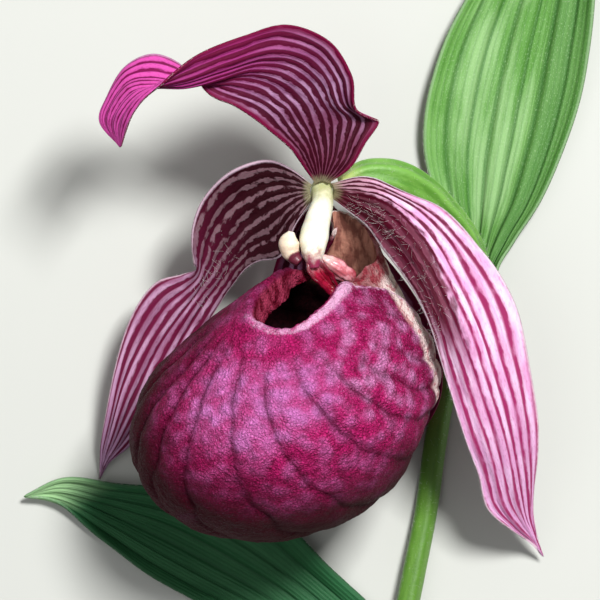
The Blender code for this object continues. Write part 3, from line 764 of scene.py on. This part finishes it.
# The pouch
pouch = {
    "centre": Vector((-6.9, -39.9, 28)),
    "radii": (26.3, 20.1, 22.4), "lean": 16.7,
    "mouthWay": Vector((0.10, 0.80, 0.59)),
    "frontWay": Vector((-0.50, 0, 0.85)),
    "sides": 300, "rings": 136, "rimRings": 20, "crowding": 1.15, "thickness": 0.8,
    # degrees from the mouth's axis to its front and back edge, and how far down the skin it shapes
    "mouthLevels": (21, 50), "mouthReach": 0.22, "clawReach": 0.04, "leftReach": 0.12,
    "curlRadius": 1.4, "curlTurn": 2.9, "curlLength": 3.6, "wallLength": 0.5,
    "flapLength": 1.5, "flapTighter": 0.4, "flapStraighter": 0.35,
    "crinkle": 0.16, "crinkleScale": 1.3, "lumps": ((0.35, 0.18), (1.1, 0.10), (2, 0.05)),
    "rimAsides": range(-16, 17, 4), "rimEnds": (-14, 14), "rimStep": 0.04,
    # where round the mouth, in degrees, each feature begins, is full, fades and ends
    "windows": {
        "fold": (60, 80, 135, 150), "blush": (98, 112, 160, 172), "clawWall": (112, 128, 232, 250),
        "clawSide": (118, 132, 200, 220), "flap": (228, 242, 335, 358), "wall": (230, 245, 335, 352),
        "flapRoll": (240, 275, 315, 358),
    },
    # the skin is magenta facing the first way and burgundy painted shade turned from it, with a lilac
    # painted highlight facing the second
    "litSideWay": Vector((0.24, 0.32, 0.92)), "highlightWay": Vector((-0.12, 0.24, 0.963)),
    "furrowStart": Vector((-14.2, -16.1, 47.2)),
    "furrowEnd": Vector((22.4, -25, -2.5)),
    "furrowTurns": [
        -158, -136, -116, -98, -80, -64, -53, -44, -32, -15.5, -0.5,
        15.5, 27.5, 38, 50, 64, 78, 94, 112, 132, 154, 178,
    ],
    "furrowDepth": 0.6, "creaseDepth": 0.16, "furrowWidth": 1.3, "furrowDrift": 2.2,
    # where the right shoulder and flank swell out or draw in: (point, way, spread, height)
    "swells": [
        ((10.5, -20, 37), (0.40, 0.60, 0.70), 5.5, 3.6),
        ((17.5, -24, 30), (0.90, 0.42, 0), 5, 2.9),
        ((19, -32, 28), (1, 0, 0), 4.5, 1.7),
        ((18, -43, 26), (-0.9, 0.4, 0), 4.5, 1.8),
    ],
    # the folded crest of the right shoulder, seen from above; the claw's cream side is beyond it
    "crest": [
        (2.5, -18.3), (4, -17.2), (7, -17.2), (11, -17.8), (14, -19.5),
        (16.5, -22.5), (18.5, -26), (19.8, -30), (20.5, -36),
    ],
    "crestHeight": 0.5, "crestDrop": 0.6,
    # the mouth's edge as (degrees round it from its front, point): front, right, claw, left
    "edge": [
        (0, (-9.5, -24.6, 45.5)), (25, (-6, -24.9, 46.2)), (50, (-2.5, -23.6, 45.2)),
        (75, (0.9, -21, 42.2)), (100, (4.3, -17.6, 38.5)), (120, (8, -15.6, 32.5)),
        (140, (10.2, -12.4, 28)), (155, (9, -8.6, 24.6)), (168, (5.6, -5.4, 23.4)),
        (180, (2.9, -4.5, 22.4)), (192, (1.4, -5, 22.6)), (205, (1.9, -7.4, 22.2)),
        (220, (0.2, -11, 22.8)), (240, (-3, -14.4, 26.5)), (262, (-6.6, -14.2, 31)),
        (285, (-9.4, -15.8, 35.6)), (310, (-12.2, -18.8, 40.4)), (335, (-12.6, -22.6, 44)),
    ],
}
pouchLook = {
    "burgundy": rgb(60, 0, 18), "magenta": rgb(198, 34, 112), "lilac": rgb(224, 128, 204),
    "lilacPale": rgb(238, 166, 226), "white": rgb(244, 160, 218), "vein": rgb(74, 0, 26),
    "furrow": rgb(60, 0, 22), "rim": rgb(250, 188, 228),
    "whitePatch": ((0.0135, -0.0115), (0.0115, 0.014)),
    "flap": rgb(92, 4, 28), "flapPale": rgb(156, 52, 80),
    "cream": rgb(250, 224, 220), "creamStreak": rgb(206, 118, 128), "blush": rgb(146, 44, 58),
    # painted shade of the pouch's hollow, near black
    "hollowShade": rgb(20, 0, 4), "hollowShadePale": rgb(38, 2, 10),
    "claw": rgb(176, 122, 104), "clawDark": rgb(96, 44, 40),
}
mouthWay = pouch["mouthWay"].normalized()
frontWay = (pouch["frontWay"] - mouthWay * pouch["frontWay"].dot(mouthWay)).normalized()
rightWay = mouthWay.cross(frontWay)
longWay = Vector((cos(radians(pouch["lean"])), sin(radians(pouch["lean"])), 0))
bodyAxes = list(zip((longWay, Vector((-longWay.y, longWay.x, 0)), Vector((0, 0, 1))), pouch["radii"]))


@cache
def mouthEdge(turn):
    edge = pouch["edge"]
    count = len(edge)
    k = max(i for i in range(count) if edge[i][0] <= turn)
    following = edge[k + 1][0] if k + 1 < count else 360
    near = [Vector(edge[(k + i) % count][1]) for i in range(-1, 3)]
    return throughPoints(*near, (turn - edge[k][0]) / (following - edge[k][0]))


def frontness(turn):
    # 1 at the rolled front of the mouth, 0 along the claw at its back
    return ramp(150, 95, abs((turn + 180) % 360 - 180))


furrowAxis = (pouch["furrowEnd"] - pouch["furrowStart"]).normalized()
furrowDown = (Vector((0, -1, 0)) + furrowAxis * furrowAxis.y).normalized()
furrowSide = furrowAxis.cross(furrowDown)


def furrowAt(point):
    # how far a point is from one furrow to the next, 0 to 1, its distance to the nearer, and their strength
    away = point - pouch["furrowStart"]
    out = away - furrowAxis * away.dot(furrowAxis)
    turn = degrees(atan2(out.dot(furrowSide), out.dot(furrowDown)))
    turn += pouch["furrowDrift"] * noise(point * 0.16)
    turns = pouch["furrowTurns"]
    before = max((t for t in turns if t <= turn), default=turns[-1] - 360)
    after = min((t for t in turns if t > turn), default=turns[0] + 360)
    distance = radians(min(turn - before, after - turn)) * out.length
    return (turn - before) / (after - before), distance, ramp(3, 14, out.length)


crest = [Vector(point) for point in pouch["crest"]]


def beyondCrest(point):
    # the distance from the crest's line seen from above, below 0 on the claw's side
    here, nearest = Vector((point.x, point.y)), None
    for start, end in zip(crest, crest[1:]):
        way = end - start
        u = min(1, max(0, (here - start).dot(way) / way.length_squared))
        away = here - start - way * u
        side = -1 if way.x * away.y - way.y * away.x > 0 else 1
        if nearest is None or away.length < abs(nearest):
            nearest = side * away.length
    return nearest


def window(name, turn):
    # 1 where one of the mouth's features is full, 0 away from it
    begins, full, fades, ends = pouch["windows"][name]
    return ramp(begins, full, turn) * ramp(ends, fades, turn)


def skinPoint(turn, share):
    # a point of the outer skin from the mouth's edge, share 0, to the far pole, with its painted values
    a = radians(turn)
    inFront, atBack = pouch["mouthLevels"]
    first = inFront + (atBack - inFront) * (1 - cos(a)) / 2
    level = radians(first + (180 - first) * share)
    roundWay = frontWay * cos(a) + rightWay * sin(a)

    def onBody(angle):
        way = mouthWay * cos(angle) + roundWay * sin(angle)
        return sum((axis * (way.dot(axis) * radius) for axis, radius in bodyAxes), pouch["centre"])

    backReach = pouch["clawReach"] + pouch["leftReach"] * ramp(170, 200, turn)
    reach = pouch["mouthReach"] + backReach * (1 - frontness(turn))
    pull = max(0, 1 - share / reach) ** 2
    point = onBody(level) + (mouthEdge(turn) - onBody(radians(first))) * pull
    for at, way, spread, height in pouch["swells"]:
        nearness = exp(-(point - Vector(at)).length_squared / (2 * spread**2))
        point += Vector(way) * (height * nearness * (1 - pull))
    away = point - pouch["centre"]
    normal = sum((axis * (away.dot(axis) / radius**2) for axis, radius in bodyAxes), Vector()).normalized()

    lobe, distance, fade = furrowAt(point)
    off = ramp(0.02, 0.14, share)
    bulge = 1 - sin(pi * lobe) ** 0.6
    crease = ramp(0.8, 0, distance) * pouch["creaseDepth"]
    rise = sum(noise(point * often) * height for often, height in pouch["lumps"])
    rise -= (pouch["furrowDepth"] * bulge + crease) * fade * off
    side = beyondCrest(point)
    folded = window("fold", turn) * ramp(22, 27, point.z) * ramp(-32, -24, point.y)
    rise += pouch["crestHeight"] * folded * exp(-((side - 0.5) ** 2) / 0.5)
    rise -= pouch["crestDrop"] * folded * ramp(0.1, -0.9, side) * ramp(-9, -5, side)
    edging = ramp(0.05, 0, share) * frontness(turn)
    rise += pouch["crinkle"] * edging * noise(point * pouch["crinkleScale"])
    fromEdge = (point - mouthEdge(turn)).length
    line = 0.6 * ramp(0.3, 0.05, distance) + 0.4 * ramp(pouch["furrowWidth"], 0.1, distance)
    clawSide = window("clawSide", turn) * ramp(0.40, 0.2, share)
    painted = {
        "furrow": line * ramp(0.2, 0.7, fade) * off,
        "cream": max(clawSide, folded * ramp(0.1, -0.5, side)),
        "rim": folded * exp(-((side - 0.25) ** 2) / 0.12) * 0.9,
        "blush": ramp(3.4, 0.8, fromEdge) * window("blush", turn),
        # painted light and shade, by which way the skin faces
        "litSide": normal.dot(pouch["litSideWay"]),
        "lilac": ramp(0.82, 0.985, normal.dot(pouch["highlightWay"])) * ramp(0.02, 0.12, share),
        # the claw's tan wall shows only near the mouth, fading deeper in to the hollow's painted shade
        "claw": window("clawWall", turn) * ramp(-16.5, -13.5, point.y),
        "wall": window("wall", turn) * ramp(0.22, 0.08, share),
    }
    return point + normal * rise, painted


@cache
def rimFrame(turn):
    # the mouth's edge, the way down the skin from it and the way out, both evened out along the edge
    edge = skinPoint(turn, 0)[0]
    below = Vector()
    for aside in pouch["rimAsides"]:
        near = (turn + aside) % 360
        below += (skinPoint(near, pouch["rimStep"])[0] - skinPoint(near, 0)[0]).normalized()
    below.normalize()
    before, after = (skinPoint((turn + aside) % 360, 0)[0] for aside in pouch["rimEnds"])
    outward = (after - before).cross(below).normalized()
    if outward.dot(edge - pouch["centre"]) < 0 and frontness(turn) > 0.5:
        outward.negate()
    return edge, below, outward


def rimPoint(turn, run):
    # beyond the edge: rolled inwards at the front, a flap on the left, straight along the claw
    edge, below, outward = rimFrame(turn)
    roll, sideFlap = frontness(turn), window("flapRoll", turn)
    radius = pouch["curlRadius"] * (1 - pouch["flapTighter"] * sideFlap) / max(0.05, roll)
    length = run * (pouch["wallLength"] + pouch["curlLength"] * roll + pouch["flapLength"] * sideFlap)
    arc = min(length, pouch["curlTurn"] * (1 - pouch["flapStraighter"] * sideFlap) * radius)
    bend = arc / radius
    rolled = edge - below * (radius * sin(bend)) - outward * (radius * (1 - cos(bend)))
    point = rolled - (below * cos(bend) + outward * sin(bend)) * (length - arc)
    pucker = outward * cos(bend) - below * sin(bend)
    height = pouch["crinkle"] * roll * (1 - sideFlap) * min(1, run * 5)
    return point + pucker * (height * noise(point * pouch["crinkleScale"]))


def makePouch():
    bm = bmesh.new()
    sides, rings, rimRings = pouch["sides"], pouch["rings"], pouch["rimRings"]
    bmesh.ops.create_uvsphere(bm, u_segments=sides, v_segments=rings + 1, radius=1)
    pole = max(bm.verts, key=lambda vert: vert.co.z)
    bmesh.ops.delete(bm, geom=[pole], context="VERTS")
    names = ("furrow", "cream", "rim", "blush", "flap", "litSide", "lilac", "claw", "wall")
    layers = {name: bm.verts.layers.float.new(name) for name in names}
    for vert in bm.verts:
        x, y, z = vert.co
        ring = round(acos(max(-1, min(1, z))) / pi * (rings + 1)) - 1
        turn = round(degrees(atan2(y, x)) % 360, 4) % 360
        share = max(0, (ring - rimRings) / (rings - rimRings)) ** pouch["crowding"]
        run = max(0, 1 - ring / rimRings)
        here, painted = skinPoint(turn, share)
        # the pale lip runs round the front, and the flap rolled in on its left is red
        front = ramp(318, 340, turn) + ramp(115, 95, turn) * (turn < 180)
        lip = ramp(0.010, 0, share) * ramp(0.5, 0.2, run)
        paler = 0.62 + 0.38 * ramp(30, 60, turn) * (turn < 180)
        painted["rim"] = max(painted["rim"], lip * front * paler)
        painted["flap"] = ramp(0.15, 0.4, run) * window("flap", turn)
        for name in names:
            vert[layers[name]] = painted[name]
        vert.co = toMetres(rimPoint(turn, run) if run > 0 else here)
    bm.normal_update()
    bmesh.ops.recalc_face_normals(bm, faces=bm.faces)
    piece = toObject(bm, "lip_fine", [pouchSkinFinish(pouchLook), pouchInsideFinish(pouchLook)])
    makeWall(piece, pouch["thickness"], -1)
    return claim(piece, "pouch", "lip")


makePouch()
print("pouch made")

# Column, staminode, stigma and anthers
ivory, flush = rgb(240, 238, 222), rgb(150, 50, 84)
waxyLooks = {
    # the column's greenish root tint reaches to half its length: partly its own green base, partly painted
    # shade where it meets the petals and sepals
    "column": {"colour": ivory, "colourDeep": rgb(240, 236, 206), "root": rgb(188, 190, 136), "tip": flush,
               "rootReach": (0.54, 0.34), "tipReach": (0.80, 0.97), "roughness": 0.35, "coat": 0.15},
    "staminode": {"colour": rgb(120, 6, 30), "colourDeep": rgb(156, 20, 54), "root": rgb(216, 150, 160),
                  "tip": rgb(96, 2, 22), "rootReach": (0.40, 0.12), "tipReach": (0.6, 1),
                  "edge": rgb(100, 4, 30), "edgeShare": 0.8, "roughness": 0.22, "coat": 0.4},
    # the stigma's pale root is partly its paler flesh, partly a painted highlight on its glossy upper fold
    "stigma": {"colour": rgb(190, 96, 108), "colourDeep": rgb(232, 160, 170), "root": rgb(240, 190, 186),
               "tip": rgb(136, 30, 40), "rootReach": (0.40, 0.12), "tipReach": (0.6, 0.95),
               "edge": rgb(130, 24, 40), "edgeShare": 0.7, "roughness": 0.2, "coat": 0.5},
    "anther": {"colour": rgb(236, 216, 192), "colourDeep": rgb(228, 200, 176), "root": rgb(96, 24, 44),
               "tip": ivory, "rootReach": (0.42, 0.30), "tipReach": (0.8, 1.2), "roughness": 0.45,
               "coat": 0.1},
}
smallRod = rodForm | {"sides": 36, "rings": 44, "ribs": 2, "ribHeight": 0, "lumps": 0.04}
smallBlade = {"along": 44, "across": 30, "thickness": 0.45, "ribs": 2, "ribHeight": 0, "veins": 5,
              "veinHeight": 0.05, "waves": 2, "waveHeight": 0.15, "seed": 8}
columnShape = dict(
    smallRod, rings=90, lumps=0.12,
    path=[footCentre + Vector((0.2, 2.8, -0.6)), footCentre + Vector((0.1, 1.6, -0.2)), footCentre,
          (0.1, -2.7, 25.4), (-0.7, -5.8, 27.8), (-1.4, -9, 29.8), (-1.5, -11.8, 30.9), (-1.3, -14, 31.2)],
    radii=[0.6, 1.5, 1.9, 1.85, 2.2, 2.4, 1.8, 0.8],
)
antherShapes = {
    "anther_left": dict(smallRod, radii=[0.8, 1.2, 1.6, 1.7, 0.5], path=[
        (-3.8, -13, 30.2), (-4.7, -12.2, 29.9), (-5.4, -11, 29.9), (-5.6, -9.4, 30.2), (-5.2, -7.8, 30.4),
    ]),
    "anther_right": dict(smallRod, radii=[0.4, 1.1, 1.3, 0.4], path=[
        (-1.6, -11.2, 27.7), (-1.2, -10.4, 26.8), (-0.9, -8.8, 25.5), (-0.9, -7.4, 24.4),
    ]),
}
staminodeShape = dict(smallBlade, stations=[
    ((-2.6, -12.6, 31.4), (-1.6, -12.2, 30.6), (-0.5, -11.8, 31.4)),
    ((-2.4, -14, 31.8), (-1.2, -13.6, 30.3), (0.3, -13, 31.4)),
    ((-1.4, -15.8, 31.4), (-0.2, -15.2, 29.6), (1.2, -14.4, 31)),
    ((0.2, -17.4, 30.6), (1.1, -16.6, 29), (2.1, -15.9, 30.2)),
    ((1.9, -18.5, 29.6), (2.3, -17.8, 28.7), (2.9, -17.3, 29.3)),
    [(3.2, -18.8, 28.6)] * 3,
])
stigmaShape = dict(smallBlade, stations=[
    ((-0.9, -12.3, 28.8), (-0.6, -12, 29.2), (-0.2, -11.7, 28.8)),
    ((0, -13.8, 27.8), (0.9, -12.9, 29.4), (1.8, -12.1, 28.2)),
    ((1.4, -15.2, 27), (2.6, -14, 29), (3.7, -12.9, 27.6)),
    ((3.2, -16.1, 26.4), (4.2, -15.2, 28), (5.2, -14.2, 27)),
    ((4.6, -16.6, 26.4), (5, -16, 27), (5.7, -15.2, 26.7)),
    [(5.8, -16.4, 26.4)] * 3,
])
waxes = {name: waxyFinish(name + "Wax", look) for name, look in waxyLooks.items()}
makeRod("column", "column", Rod(columnShape), [waxes["column"]])
for name, shape in (("staminode", staminodeShape), ("stigma", stigmaShape)):
    makeBlade(name, name, Blade(shape), [waxes[name]] * 2)
for name, shape in antherShapes.items():
    makeRod(name, "column", Rod(shape), [waxes["anther"]])
print("column made")

# Down on the stalks, the leaves' margins and the petals' bases
downLooks = {
    "short": {"length": (0.35, 0.8), "radius": 0.018, "lean": 0.6},
    "long": {"length": (1.1, 2.3), "radius": 0.022, "lean": 0.6},
    "fringe": {"length": (0.3, 0.7), "radius": 0.016, "lean": 0.7},
}
downFinish = Finish("down", {"Sheen Weight": 0.2, "Alpha": 0.9})
downTone = downFinish.noise(downFinish.place(), 900)
downColour = downFinish.mix(downTone, rgb(226, 222, 214), rgb(250, 246, 244))
down = downFinish.wear(downColour, 0.35 + downTone * 0.1, downTone, 0.02)
hairs = [
    ("ovary_down", "stalk", rodRoots(ovary, 900, (0.03, 0.97)), "short"),
    ("stem_down", "stalk", rodRoots(stem, 1500, (0.01, 0.99)), "short"),
    ("bract_fringe", "bract", marginRoots(bract, 700, (0.05, 0.98)), "fringe"),
    ("leaf_fringe", "leaf", marginRoots(leaf, 500, (0.2, 0.98)), "fringe"),
    ("sepal_fringe", "sepal", marginRoots(dorsal, 800, (0.06, 0.99)), "fringe"),
    ("petal_left_fringe", "petal", marginRoots(petalLeft, 400, (0.1, 0.98)), "fringe"),
    ("petal_right_fringe", "petal", marginRoots(petalRight, 400, (0.1, 0.98)), "fringe"),
    ("petal_right_down", "petal", bladeRoots(petalRight, 190, (0.05, 0.46), (0.1, 0.98)), "long"),
    ("petal_left_down", "petal", bladeRoots(petalLeft, 45, (0.3, 0.55), (-0.4, 0.5)), "long"),
]
for name, slot, roots, kind in hairs:
    plantHairs(name, slot, roots, downLooks[kind], down)
print("down planted")

# Floor, light and camera
floorFinish = Finish("floor", {})
floorTone = floorFinish.noise(floorFinish.place(), 3)
floorColour = floorFinish.mix(floorTone, rgb(190, 192, 186), rgb(195, 196, 190))
floorMesh = bmesh.new()
bmesh.ops.create_grid(floorMesh, x_segments=1, y_segments=1, size=3)
floor = floorFinish.wear(floorColour, 0.7 + floorTone * 0.05, floorTone, 0.01)
toObject(floorMesh, "floor", [floor])

studio = {
    "key": {"at": (0.26, 0.34, 0.82), "size": 0.20, "watts": 12.5},
    "fill": {"at": (-0.5, -0.1, 1), "size": 0.8, "watts": 2.2},
}
lookAt = toMetres((-3.74, -19.38, 28))
for name, lamp in studio.items():
    data = bpy.data.lights.new(name, "AREA")
    data.size = lamp["size"]
    data.energy = lamp["watts"]
    light = bpy.data.objects.new(name, data)
    light.location = lamp["at"]
    light.rotation_euler = (lookAt - light.location).to_track_quat("-Z", "Y").to_euler()
    scene.collection.objects.link(light)
world = bpy.data.worlds.new("studio")
world.use_nodes = True
sky = world.node_tree.nodes["Background"].inputs
sky["Color"].default_value = (0.95, 0.97, 1, 1)
sky["Strength"].default_value = 0.22
scene.world = world
scene.view_settings.view_transform = "Standard"

view = {"height": 0.8, "frameWidth": 0.102}  # metres above the pouch, and metres across the picture there
cameraData = bpy.data.cameras.new("camera")
cameraData.lens = cameraData.sensor_width * view["height"] / view["frameWidth"]
camera = bpy.data.objects.new("camera", cameraData)
camera.location = lookAt + Vector((0, 0, view["height"]))
scene.collection.objects.link(camera)
scene.camera = camera

print("scene ready")
